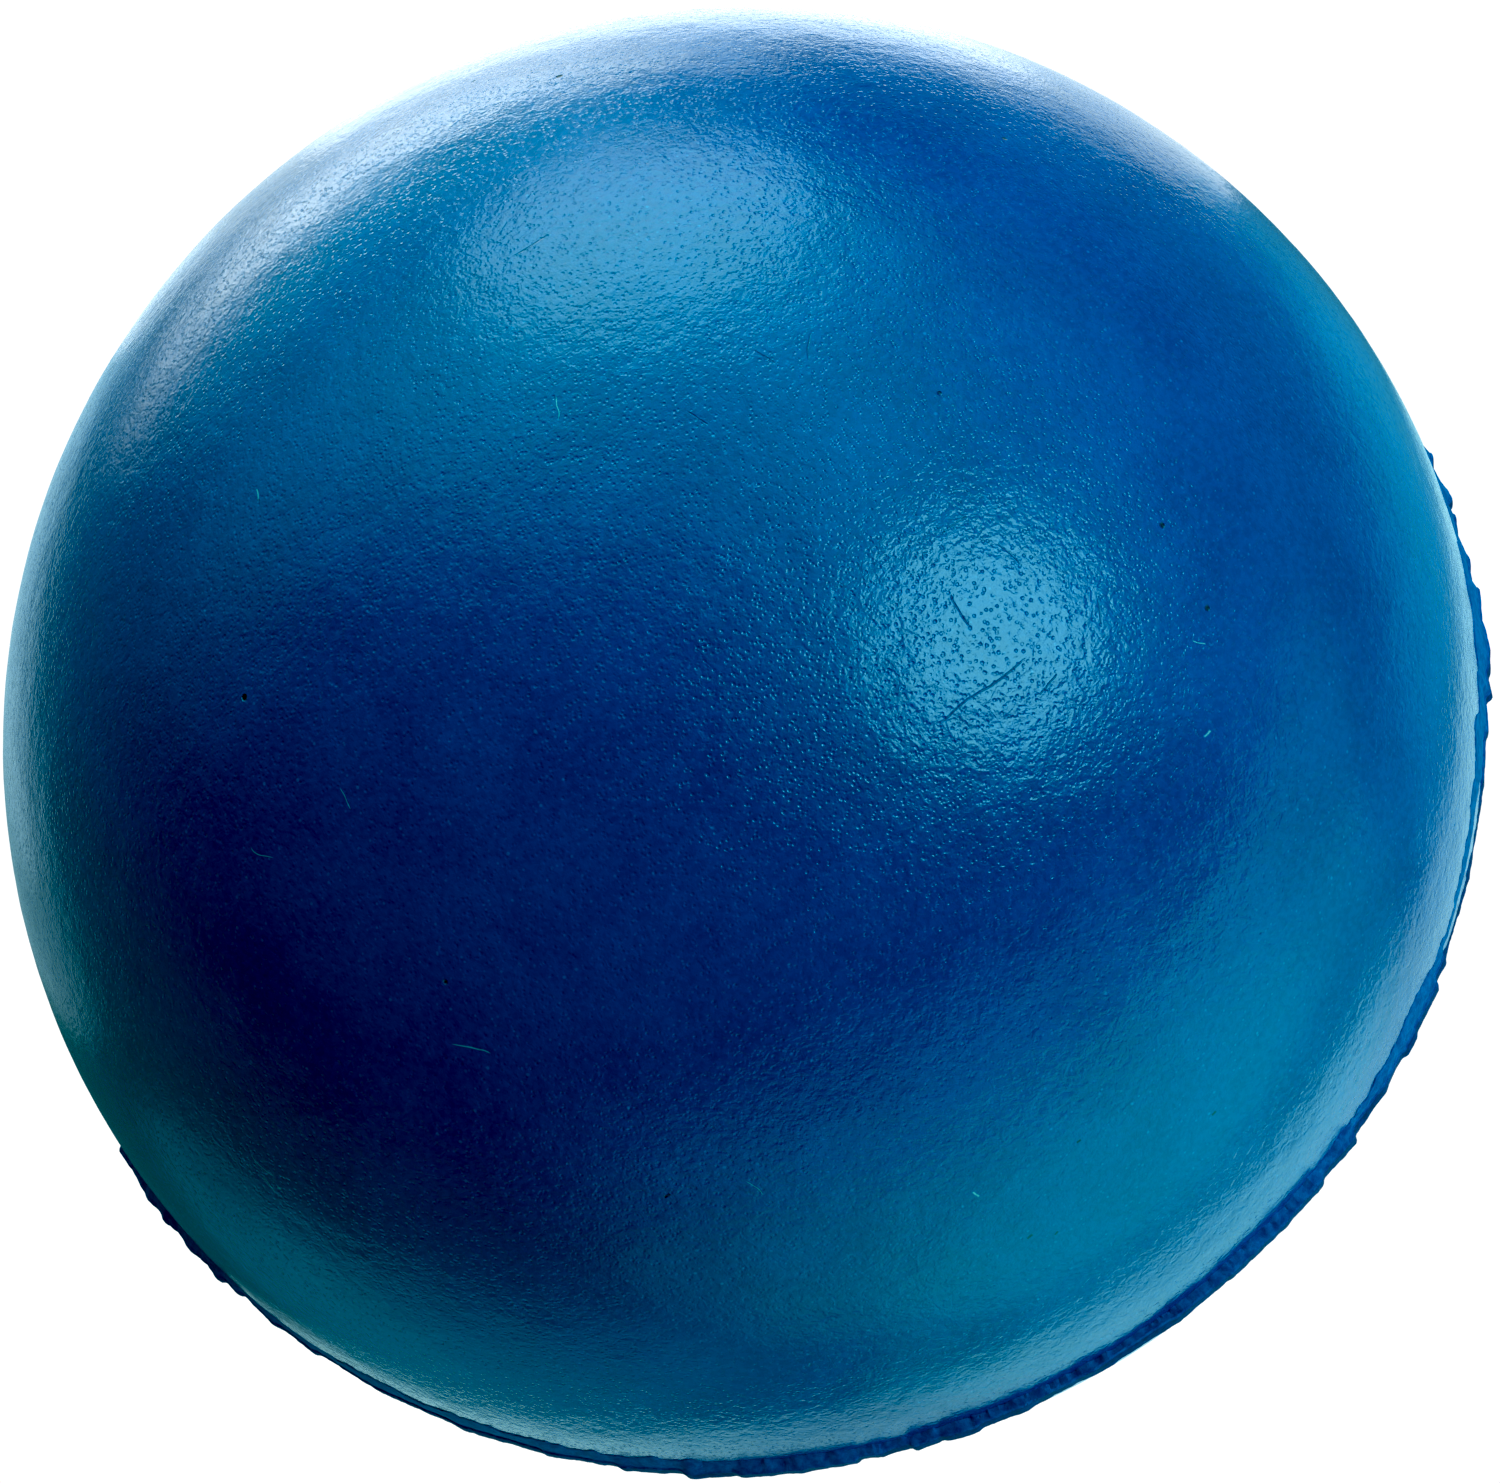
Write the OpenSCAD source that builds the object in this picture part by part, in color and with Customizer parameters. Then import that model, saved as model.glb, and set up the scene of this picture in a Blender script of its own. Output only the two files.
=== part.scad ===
// Croquet ball: a moulded casing in two halves round a composition core.
// Millimetres. +Z runs through the two moulding poles, the halves meet at
// Z = 0, and the origin is the centre of the core. -Y is the side where the
// lower half sits furthest inside the upper one.

/* [Casing] */
// Diameter across the upper half, at the parting line
ball_d = 92; // [66:0.5:120]
// Wall of the casing, measured on the upper half
shell_wall = 7; // [5:0.25:10]
// How much smaller the radius of the lower half is, from mould shrinkage
lower_inset = 0.7; // [0:0.05:1.2]
// How far the lower mould half sits off centre, towards +Y
mould_shift = 0.5; // [0:0.05:0.8]

/* [Joint between the halves] */
// Radial thickness of the tongue under the upper half
tongue_w = 2.4; // [1.5:0.1:3.2]
// Height of the tongue
tongue_h = 3; // [1.5:0.1:5]
// Clearance on each side of the tongue
tongue_gap = 0.15; // [0.05:0.05:0.3]
// Thickness of the weld bead below the tongue
weld_t = 0.6; // [0.3:0.05:1.2]

/* [Core] */
// Thickness of the adhesive coat between casing and core
bond_t = 0.3; // [0.1:0.05:0.8]
// Diameter of the cork pill at the centre
pill_d = 26; // [16:0.5:40]

/* [Trimmed flash] */
// How far the flash stands out where the knife cut it closest
flash_proud = 0.1; // [0.05:0.05:0.6]
// How far the fin of the flash reaches above the parting line
flash_above = 0.25; // [0.1:0.05:0.6]
// How far the fin reaches below the parting line
flash_below = 1; // [0.4:0.1:2]
// How far the thick root of the flash reaches above the parting line
root_above = 1.5; // [0.8:0.1:3]
// How far the root reaches below the parting line
root_below = 2.4; // [2.1:0.1:4]

/* [Hidden] */

$fn = 360;
ball_r = ball_d / 2;
cavity_r = ball_r - shell_wall;
core_r = cavity_r - bond_t;
pill_r = pill_d / 2;
lower_r = ball_r - lower_inset;
// Middle of the thinnest part of the lower half's rim, on the -Y side
tongue_r = (cavity_r + lower_r - mould_shift) / 2;
groove_w = tongue_w + 2 * tongue_gap;
groove_h = tongue_h + weld_t;
// How deep the root's lower corner lies inside the lower skin, on the -Y side
root_inset = 0.1;

// Corners between the straight strokes of the trimming knife, as
// [azimuth from +X towards -Y, how much further out than flash_proud].
FRONT_CUTS = [[0, 0.2], [3, 0.4], [5, 0.1], [9, 0], [10.5, 0.5], [13.5, 0.1],
              [14.5, 0], [16.5, 0.35], [19, 0.05], [21, 0.25], [24, 0.5],
              [26, 0.35], [28, 0.5], [30, 0.2], [33, 0.05], [37, 0], [44, 0],
              [51, 0], [53, 0.2], [57, 0.35], [59, 0.3], [62, 0.1], [66, 0.25],
              [70, 0.5], [74, 0.5], [80, 0.55], [85, 0.45], [91, 0.45],
              [97, 0.5], [101, 0.55], [103.5, 0.65], [106, 0.4], [108, 0.3],
              [110, 0.5], [114, 0.55], [119, 0.55], [123, 0.35], [128, 0.25],
              [134, 0.15], [141, 0.1], [148, 0.05], [154, 0.1], [156, 0.2],
              [158, 0.1], [162, 0.3], [164, 0.35], [166, 0.6], [167.5, 0.45],
              [169.5, 0.65], [170.5, 0.55], [171.5, 0.8], [173, 0.55],
              [176, 0.75], [178, 0.7]];
back_strokes = 30;
BACK_CUTS = [for (i = [0:back_strokes - 1])
    [180 + 180 * (i + 0.5 + 0.35 * sin(137 * i)) / back_strokes,
     0.3 + 0.2 * sin(97 * i) + 0.1 * sin(61 * i)]];

// Everything above or below the parting plane, out past the flash
module half_space(up) {
    reach = 2 * ball_r;
    translate([-reach, -reach, up ? 0 : -2 * reach])
        cube(2 * reach);
}

module upper_skin() {
    sphere(ball_r);
}

module lower_skin() {
    translate([0, mould_shift, 0])
        sphere(lower_r);
}

// A ring with a rectangular section, centred on the radius of the tongue
module joint_ring(width, low, high) {
    rotate_extrude()
        translate([tongue_r - width / 2, low])
            square([width, high - low]);
}

module core_pill() {
    color("#a8794c")
        sphere(pill_r);
}

module core_ball() {
    color("#5c3a26")
        difference() {
            sphere(core_r);
            sphere(pill_r);
        }
}

module bond_layer() {
    color("#d9c48a")
        difference() {
            sphere(cavity_r);
            sphere(core_r);
        }
}

module lower_shell() {
    color("#00467d")
        difference() {
            intersection() {
                lower_skin();
                half_space(false);
            }
            sphere(cavity_r);
            joint_ring(groove_w, -groove_h, 1);
        }
}

module upper_shell() {
    color("#00569b")
        union() {
            difference() {
                intersection() {
                    upper_skin();
                    half_space(true);
                }
                sphere(cavity_r);
            }
            joint_ring(tongue_w, -tongue_h, 0);
        }
}

module seam_weld() {
    color("#003a6b")
        joint_ring(groove_w, -groove_h, -tongue_h);
}

// The fin that the knife trimmed, with a straight edge for each stroke
module flash_fin() {
    translate([0, 0, -flash_below])
        linear_extrude(flash_above + flash_below)
            polygon([for (cut = concat(FRONT_CUTS, BACK_CUTS))
                (ball_r + flash_proud + cut[1]) * [cos(cut[0]), -sin(cut[0])]]);
}

// The thick root of the fin, which runs out onto both skins
module flash_root() {
    inside = lower_r - mould_shift - root_inset;
    rotate_extrude()
        polygon([[inside, root_above],
                 [sqrt(pow(ball_r, 2) - pow(root_above, 2)), root_above],
                 [ball_r + flash_proud, flash_above],
                 [ball_r + flash_proud, -flash_below],
                 [inside, -root_below]]);
}

module flash_half(up) {
    intersection() {
        union() {
            flash_fin();
            flash_root();
        }
        half_space(up);
    }
}

module parting_flash() {
    color("#003763")
        union() {
            difference() {
                flash_half(true);
                upper_skin();
            }
            difference() {
                flash_half(false);
                lower_skin();
            }
        }
}

core_pill();
core_ball();
bond_layer();
lower_shell();
upper_shell();
seam_weld();
parting_flash();
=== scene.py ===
"""Croquet ball: the moulded casing in two halves, its trimmed flash and the core inside it.

Every size is in metres, in the same frame as the CAD model: the origin is the centre of the
core, +Z runs through the moulding poles and the halves meet at Z = 0.
"""
import logging
import math
import random
from dataclasses import dataclass, field
from enum import Enum
from typing import Any, Union

import bpy
import numpy as np
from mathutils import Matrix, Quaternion, Vector, noise


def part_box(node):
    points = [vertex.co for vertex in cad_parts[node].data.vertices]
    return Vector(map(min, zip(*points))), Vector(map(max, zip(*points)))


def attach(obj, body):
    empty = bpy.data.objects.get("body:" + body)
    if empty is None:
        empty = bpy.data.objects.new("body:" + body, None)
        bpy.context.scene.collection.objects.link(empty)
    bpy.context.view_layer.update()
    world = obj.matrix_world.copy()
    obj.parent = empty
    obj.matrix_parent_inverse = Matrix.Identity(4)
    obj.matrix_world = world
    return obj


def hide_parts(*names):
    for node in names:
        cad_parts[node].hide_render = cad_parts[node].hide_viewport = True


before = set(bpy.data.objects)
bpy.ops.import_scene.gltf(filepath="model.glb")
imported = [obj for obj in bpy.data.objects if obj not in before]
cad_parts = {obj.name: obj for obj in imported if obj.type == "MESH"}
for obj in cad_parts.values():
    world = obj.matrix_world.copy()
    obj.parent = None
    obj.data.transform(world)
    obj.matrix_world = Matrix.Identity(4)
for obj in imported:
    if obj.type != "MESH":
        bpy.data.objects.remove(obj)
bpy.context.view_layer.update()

MM = 0.001
BODY = "root"
log = logging.getLogger("croquet_ball")

Colour = tuple[float, float, float]
Scalar = Union["Value", float]


# ---------------------------------------------------------------- shader tools


class Value:
    """A number inside a shader, which does arithmetic by adding Math nodes."""

    def __init__(self, graph: "Graph", socket: bpy.types.NodeSocket) -> None:
        """Wraps one output socket.

        Args:
            graph: The shader that the socket belongs to.
            socket: The output that carries the number.
        """
        self.graph = graph
        self.socket = socket

    def _maths(self, operation: str, *terms: Scalar) -> "Value":
        """Adds one Math node.

        Args:
            operation: Blender's name of the operation.
            terms: Its inputs, in order.

        Returns:
            The result.
        """
        made = self.graph.node("ShaderNodeMath", {"operation": operation}, dict(enumerate(terms)))
        return Value(self.graph, made.outputs[0])

    def __add__(self, other: Scalar) -> "Value":
        """Sum."""
        return self._maths("ADD", self, other)

    def __radd__(self, other: Scalar) -> "Value":
        """Sum with a plain number first."""
        return self._maths("ADD", other, self)

    def __sub__(self, other: Scalar) -> "Value":
        """Difference."""
        return self._maths("SUBTRACT", self, other)

    def __rsub__(self, other: Scalar) -> "Value":
        """Difference from a plain number."""
        return self._maths("SUBTRACT", other, self)

    def __mul__(self, other: Scalar) -> "Value":
        """Product."""
        return self._maths("MULTIPLY", self, other)

    def __rmul__(self, other: Scalar) -> "Value":
        """Product with a plain number first."""
        return self._maths("MULTIPLY", other, self)

    def size(self) -> "Value":
        """The number without its sign."""
        return self._maths("ABSOLUTE", self)

    def ramp(self, low: float, high: float, to_low: float = 0.0, to_high: float = 1.0) -> "Value":
        """Eases from one level to another.

        Args:
            low: The input where the ramp starts.
            high: The input where it ends.
            to_low: The result at the start.
            to_high: The result at the end.

        Returns:
            The eased number, held at its ends.
        """
        node = self.graph.node(
            "ShaderNodeMapRange",
            {"interpolation_type": "SMOOTHSTEP"},
            {"Value": self, "From Min": low, "From Max": high, "To Min": to_low, "To Max": to_high},
        )
        return Value(self.graph, node.outputs[0])


class Graph:
    """One material's node tree, with short ways to add to it."""

    def __init__(self, name: str, constants: dict[str, Any]) -> None:
        """Makes a material with one Principled shader.

        Args:
            name: The material's name.
            constants: Values set straight on the shader's sockets.
        """
        self.material = bpy.data.materials.new(name)
        self.material.use_nodes = True
        self.tree = self.material.node_tree
        self.shader = next(n for n in self.tree.nodes if n.type == "BSDF_PRINCIPLED")
        for socket, value in constants.items():
            self.shader.inputs[socket].default_value = value
        self.place = self.node("ShaderNodeTexCoord").outputs["Object"]

    def node(
        self, kind: str, settings: dict[str, Any] | None = None, inputs: dict[Any, Any] | None = None
    ) -> bpy.types.Node:
        """Adds a node.

        Args:
            kind: The node's type.
            settings: Its properties, set before its sockets.
            inputs: A number, a colour, a Value or a socket for each named or numbered input.

        Returns:
            The new node.
        """
        made = self.tree.nodes.new(kind)
        for key, value in (settings or {}).items():
            setattr(made, key, value)
        for key, value in (inputs or {}).items():
            source = value.socket if isinstance(value, Value) else value
            if isinstance(source, bpy.types.NodeSocket):
                self.tree.links.new(source, made.inputs[key])
            else:
                made.inputs[key].default_value = source
        return made

    def noise(self, grain: float, detail: float = 2.0, roughness: float = 0.5, warp: float = 0.0,
              place: bpy.types.NodeSocket | None = None) -> Value:
        """Soft noise from 0 to 1.

        Args:
            grain: The size of its features, in metres.
            detail: How many finer layers it has.
            roughness: How strong the finer layers are.
            warp: How much it is distorted.
            place: The coordinates it is drawn at; the object's own where none is given.

        Returns:
            The noise.
        """
        inputs = {"Vector": place or self.place, "Scale": 1.0 / grain, "Detail": detail,
                  "Roughness": roughness, "Distortion": warp}
        return Value(self, self.node("ShaderNodeTexNoise", {"noise_dimensions": "3D"}, inputs).outputs[0])

    def cells(self, pitch: float, place: bpy.types.NodeSocket | None = None) -> tuple[Value, Value]:
        """Scattered points.

        Args:
            pitch: The mean distance between them, in metres.
            place: The coordinates they are drawn at.

        Returns:
            The distance to the nearest point, as a share of the pitch, and a random number for that point.
        """
        made = self.node("ShaderNodeTexVoronoi", {"feature": "F1"},
                         {"Vector": place or self.place, "Scale": 1.0 / pitch, "Randomness": 1.0})
        parts = self.node("ShaderNodeSeparateColor", {}, {0: made.outputs["Color"]})
        return Value(self, made.outputs["Distance"]), Value(self, parts.outputs[0])

    def along(self, direction: Vector, place: bpy.types.NodeSocket | None = None) -> Value:
        """How far a point lies along a direction, in metres.

        Args:
            direction: A unit vector.
            place: The coordinates of the point.

        Returns:
            The distance.
        """
        made = self.node("ShaderNodeVectorMath", {"operation": "DOT_PRODUCT"},
                         {0: place or self.place, 1: tuple(direction)})
        return Value(self, made.outputs["Value"])

    def wobble(self, grain: float, amount: float) -> bpy.types.NodeSocket:
        """The object's coordinates, pushed about a little.

        Args:
            grain: The size of the pushes' pattern, in metres.
            amount: How far they push, in metres.

        Returns:
            The pushed coordinates.
        """
        drift = self.node("ShaderNodeTexNoise", {"noise_dimensions": "3D"},
                          {"Vector": self.place, "Scale": 1.0 / grain, "Detail": 1.0}).outputs["Color"]
        centred = self.node("ShaderNodeVectorMath", {"operation": "SUBTRACT"}, {0: drift, 1: (0.5, 0.5, 0.5)})
        made = self.node("ShaderNodeVectorMath", {"operation": "MULTIPLY_ADD"},
                         {0: centred.outputs[0], 1: (2 * amount,) * 3, 2: self.place})
        return made.outputs[0]

    def blend(self, factor: Scalar, first: Any, second: Any) -> bpy.types.NodeSocket:
        """Mixes two colours.

        Args:
            factor: 0 for the first and 1 for the second.
            first: A colour or a socket.
            second: A colour or a socket.

        Returns:
            The mixed colour.
        """
        def whole(colour: Any) -> Any:
            """Adds the alpha that a colour socket takes."""
            return (*colour, 1.0) if isinstance(colour, tuple) else colour

        made = self.node("ShaderNodeMix", {"data_type": "RGBA", "clamp_factor": True},
                         {0: factor, 6: whole(first), 7: whole(second)})
        return made.outputs[2]

    def finish(self, colour: Any = None, roughness: Scalar | None = None, height: Value | None = None
               ) -> bpy.types.Material:
        """Links what varies over the surface to the shader.

        Args:
            colour: The base colour's socket.
            roughness: The roughness.
            height: The relief, in metres.

        Returns:
            The finished material.
        """
        if colour is not None:
            self.tree.links.new(colour, self.shader.inputs["Base Color"])
        if roughness is not None:
            self.tree.links.new(roughness.socket, self.shader.inputs["Roughness"])
        if height is not None:
            bump = self.node("ShaderNodeBump", {}, {"Height": height, "Distance": 1.0, "Strength": 1.0})
            self.tree.links.new(bump.outputs["Normal"], self.shader.inputs["Normal"])
        return self.material


# -------------------------------------------------------------------- finishes


@dataclass(frozen=True)
class Scratch:
    """A fine score in the skin: an arc of a circle round the ball."""

    azimuth: float
    elevation: float
    heading: float
    length: float
    width: float = 0.16 * MM
    depth: float = 0.012 * MM
    curl: float = 0.0

    def frame(self) -> tuple[Vector, Vector, Vector]:
        """The scratch's own directions.

        Returns:
            The outward direction at its middle, the one along it and the one across it.
        """
        a, e = math.radians(self.azimuth), math.radians(self.elevation)
        out = Vector((math.sin(a) * math.cos(e), -math.cos(a) * math.cos(e), math.sin(e)))
        east = Vector((math.cos(a), math.sin(a), 0.0))
        north = out.cross(east)
        h = math.radians(self.heading)
        way = east * math.cos(h) + north * math.sin(h)
        return out, way, out.cross(way)

    def mask(self, graph: Graph, place: bpy.types.NodeSocket) -> Value:
        """Where the scratch lies.

        Args:
            graph: The shader to add it to.
            place: The coordinates it is drawn at.

        Returns:
            1 along its line and 0 away from it.
        """
        out, way, across = self.frame()
        run = graph.along(way, place)
        offset = graph.along(across, place) + run * run * self.curl
        line = offset.size().ramp(0.0, self.width / 2, 1.0, 0.0)
        ends = run.size().ramp(0.35 * self.length, 0.5 * self.length, 1.0, 0.0)
        near = graph.along(out, place).ramp(0.0, 10 * MM)
        return line * ends * near


@dataclass(frozen=True)
class MouldedSkin:
    """The casing's own skin: saturated blue, glossy, dimpled all over like orange peel, with painted glints
    and painted shade in its pinholes and scratches.
    """

    name: str = "moulded_skin"
    body: Colour = (0.0, 0.092, 0.322)
    deep: Colour = (0.0, 0.062, 0.245)
    # Pale blue of the painted glints.
    pale: Colour = (0.0, 0.24, 0.55)
    specular_tint: Colour = (0.55, 1.0, 0.97)
    specular_level: float = 0.8
    roughness: float = 0.19
    # Near-black of the painted shade in the pinholes and at the pinhole spots.
    pit_shade: Colour = (0.0, 0.006, 0.04)
    # Dark blue of the painted shade along the scratches.
    score: Colour = (0.0, 0.02, 0.11)
    lint: Colour = (0.40, 0.58, 0.60)
    dimple_pitch: float = 0.30 * MM
    dimple_depth: float = 0.030 * MM
    pin_depth: float = 0.12 * MM
    calm: tuple[float, float, float] = (0.42, -0.90, 0.09)
    coarse: tuple[float, float, float] = (0.321, -0.458, 0.829)
    scratches: tuple[Scratch, ...] = ()
    hairs: tuple[Scratch, ...] = ()
    # Spots of painted shade at pinholes, coloured only.
    pinhole_shade: tuple[Scratch, ...] = ()

    def dimples(self, graph: Graph) -> Value:
        """Large dimples with small ones between them, shallower on the calm side than on the coarse one.

        Args:
            graph: The shader to add them to.

        Returns:
            Their relief, in metres.
        """
        pushed = graph.wobble(0.9 * MM, 0.03 * MM)
        gap, chance = graph.cells(self.dimple_pitch, pushed)
        pits = gap.ramp(0.12, 0.46, -1.0, 0.0) * (0.35 + chance * 0.65) * self.dimple_depth
        small_gap, small_chance = graph.cells(0.55 * self.dimple_pitch, pushed)
        calm = graph.along(Vector(self.calm)).ramp(20 * MM, 44 * MM, 1.0, 0.35)
        coarse = graph.along(Vector(self.coarse)).ramp(36 * MM, 44.5 * MM, 0.66, 1.0)
        small_pits = small_gap.ramp(0.1, 0.5, -1.0, 0.0) * small_chance * (0.22 * self.dimple_depth)
        return calm * coarse * (pits + small_pits)

    def flow(self, graph: Graph) -> Value:
        """The unevenness that the plastic kept from filling the mould.

        Args:
            graph: The shader to add it to.

        Returns:
            Its relief, in metres.
        """
        swell = graph.noise(2.6 * MM, 2.0, 0.5, 0.3)
        ripple = graph.noise(0.70 * MM, 2.0, 0.5, 0.8)
        grain = graph.noise(0.27 * MM, 2.0, 0.6)
        return swell * (0.045 * MM) + ripple * (0.042 * MM) + grain * (0.013 * MM)

    def wrinkles(self, graph: Graph) -> Value:
        """Short worm-like creases in patches.

        Args:
            graph: The shader to add them to.

        Returns:
            Their relief, in metres.
        """
        veins = (graph.noise(1.3 * MM, 1.0, 0.5, 1.0) - 0.5).size().ramp(0.0, 0.035, 1.0, 0.0)
        patches = graph.noise(5 * MM, 1.0).ramp(0.52, 0.66)
        return veins * patches * (-0.004 * MM)

    def build(self) -> bpy.types.Material:
        """Makes the material.

        Returns:
            The material.
        """
        graph = Graph(self.name, {"Specular Tint": (*self.specular_tint, 1.0), "IOR": 1.5,
                                  "Specular IOR Level": self.specular_level})
        pin_gap, pin_chance = graph.cells(6.5 * MM)
        pins = pin_gap.ramp(0.018, 0.036, 1.0, 0.0) * pin_chance.ramp(0.55, 0.6)
        # Painted glints: pale specks and finer grains over the skin stand in for the sparkle of the dimples.
        glint_speck_gap, glint_speck_chance = graph.cells(0.9 * MM)
        glint_specks = glint_speck_gap.ramp(0.05, 0.15, 1.0, 0.0) * glint_speck_chance.ramp(0.35, 0.95)
        glint_grain_gap, glint_grain_chance = graph.cells(0.36 * MM)
        glint_grains = glint_grain_gap.ramp(0.10, 0.30, 1.0, 0.0) * glint_grain_chance.ramp(0.45, 1.0)
        cloud = graph.noise(7 * MM, 3.0, 0.6)
        mottle = graph.noise(0.45 * MM, 2.0, 0.6)
        wander = graph.wobble(1.6 * MM, 0.16 * MM)
        height = self.dimples(graph) + self.flow(graph) + self.wrinkles(graph) - pins * self.pin_depth
        tone = cloud.ramp(0.3, 0.7) * 0.5 + mottle.ramp(0.35, 0.65) * 0.5
        colour = graph.blend(tone, self.deep, self.body)
        colour = graph.blend(glint_specks * 0.50, colour, self.pale)
        colour = graph.blend(glint_grains * 0.35, colour, self.pale)
        # Painted shade: the pinholes are coloured near-black as well as sunk.
        colour = graph.blend(pins, colour, self.pit_shade)
        for scratch in self.scratches:
            line = scratch.mask(graph, wander)
            height = height - line * scratch.depth
            # Painted shade: each scratch is darkened along its groove as well as sunk.
            colour = graph.blend(line * 0.45, colour, self.score)
        loose = graph.wobble(1.8 * MM, 0.45 * MM)
        for hair in self.hairs:
            colour = graph.blend(hair.mask(graph, loose) * 0.7, colour, self.lint)
        # Painted shade: near-black spots at the pinholes, with no pit sunk for them.
        for spot in self.pinhole_shade:
            colour = graph.blend(spot.mask(graph, wander), colour, self.pit_shade)
        roughness = self.roughness + (cloud - 0.5) * 0.10 + (mottle - 0.5) * 0.06 + pins * 0.3
        return graph.finish(colour, roughness, height)


# Marks on the skin: degrees round from -Y towards +X, degrees up, the heading in degrees north of
# east, then the length, width, depth and curl.
SCORES = (
    Scratch(28, 55.5, -21, 6.6 * MM, 0.17 * MM, 0.030 * MM),
    Scratch(35, 59.5, 59, 2.4 * MM, 0.16 * MM, 0.022 * MM, 60),
    Scratch(33, 51.8, -16, 1.8 * MM, 0.15 * MM, 0.020 * MM),
    Scratch(46, 61.9, -38, 2.1 * MM, 0.16 * MM, 0.020 * MM),
    Scratch(45, 57.8, 70, 2.0 * MM, 0.14 * MM, 0.018 * MM, -70),
    Scratch(43, 50.5, 28, 1.9 * MM, 0.14 * MM, 0.018 * MM),
    Scratch(160, 75, 25, 2.6 * MM, 0.20 * MM, 0.022 * MM, 50),
    Scratch(59, 80, 55, 1.5 * MM, 0.16 * MM, 0.020 * MM),
    Scratch(78, 75, 37, 1.6 * MM, 0.16 * MM, 0.020 * MM),
    Scratch(78, 72, -17, 1.9 * MM, 0.16 * MM, 0.018 * MM, 90),
)
LINT = (
    Scratch(-42, 47, -2, 2.2 * MM, 0.09 * MM, curl=160),
    Scratch(-63, 29.6, -31, 2.0 * MM, 0.09 * MM, curl=-260),
    Scratch(-62.2, 28.2, -40, 1.5 * MM, 0.08 * MM, curl=200),
    Scratch(-61.2, 28.4, 0, 0.3 * MM, 0.22 * MM),
    Scratch(-63, 61, -34, 1.3 * MM, 0.07 * MM, curl=120),
    Scratch(-71, 54, 3, 1.9 * MM, 0.08 * MM, curl=-150),
    Scratch(115, 89, 128, 1.5 * MM, 0.09 * MM, curl=260),
    Scratch(-18, 34.7, -71, 1.3 * MM, 0.07 * MM, curl=400),
    Scratch(45, 42.5, -72, 0.9 * MM, 0.13 * MM),
    Scratch(38, 39.6, -21, 0.5 * MM, 0.2 * MM),
    Scratch(-2.5, 27.3, -79, 0.5 * MM, 0.2 * MM),
    Scratch(-116, 67.6, 23, 0.9 * MM, 0.16 * MM),
)
# Painted shade: near-black spots where the skin shows pinholes, coloured only.
PINHOLE_SHADE = (
    Scratch(-25.5, 35.4, 20, 0.45 * MM, 0.30 * MM),
    Scratch(6.3, 26.1, 0, 0.35 * MM, 0.26 * MM),
    Scratch(-0.6, 20.9, 10, 0.40 * MM, 0.30 * MM),
    Scratch(1.2, 19.7, 40, 0.35 * MM, 0.24 * MM),
    Scratch(15.8, 18.9, 0, 0.35 * MM, 0.26 * MM),
)


@dataclass(frozen=True)
class CutCasing:
    """Casing plastic where the knife cut it: dull and lightly torn, with small chips whose lighter colour is
    partly painted glint; on the flash one copy is painted lighter and one darker, as painted light and
    painted shade.
    """

    name: str
    body: Colour
    dark: Colour
    drag: float = 0.5 * MM
    # Lighter colour of the chips: painted glints on the chipped facets.
    chip_glint: Colour = (0.01, 0.16, 0.36)

    def build(self) -> bpy.types.Material:
        """Makes the material.

        Returns:
            The material.
        """
        graph = Graph(self.name, {"Specular Tint": (0.2, 0.8, 1.0, 1.0), "IOR": 1.45,
                                  "Specular IOR Level": 0.22})
        torn = graph.noise(self.drag, 4.0, 0.65, 0.3)
        grit = graph.noise(0.14 * MM, 2.0, 0.6)
        gap, chance = graph.cells(0.7 * MM)
        chip_dents_and_glints = gap.ramp(0.06, 0.16, 1.0, 0.0) * chance.ramp(0.6, 0.7)
        colour = graph.blend(torn.ramp(0.3, 0.7), self.dark, self.body)
        # The chips are sunk as real dents and coloured lighter as painted glints.
        colour = graph.blend(chip_dents_and_glints * 0.5, colour, self.chip_glint)
        height = torn * (0.05 * MM) + grit * (0.012 * MM) - chip_dents_and_glints * (0.03 * MM)
        return graph.finish(colour, 0.58 + (torn - 0.5) * 0.2, height)


@dataclass(frozen=True)
class PressedCork:
    """Cork granules, bare in the pill and bound with dark rubber in the core."""

    name: str
    granule: Colour
    shade: Colour
    binder: Colour
    pitch: float
    bound: float

    def build(self) -> bpy.types.Material:
        """Makes the material.

        Returns:
            The material.
        """
        graph = Graph(self.name, {"IOR": 1.4, "Specular IOR Level": 0.25})
        gap, chance = graph.cells(self.pitch, graph.wobble(self.pitch, 0.3 * self.pitch))
        fleck = graph.noise(0.3 * self.pitch, 3.0, 0.6)
        granules = graph.blend(chance * 0.7 + fleck * 0.3, self.granule, self.shade)
        joints = gap.ramp(self.bound - 0.12, self.bound + 0.1)
        colour = graph.blend(joints, granules, self.binder)
        height = gap.ramp(0.1, 0.8, 0.0, -1.0) * (0.08 * self.pitch) + fleck * (0.04 * self.pitch)
        return graph.finish(colour, 0.86 - joints * 0.2 + (fleck - 0.5) * 0.1, height)


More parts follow.
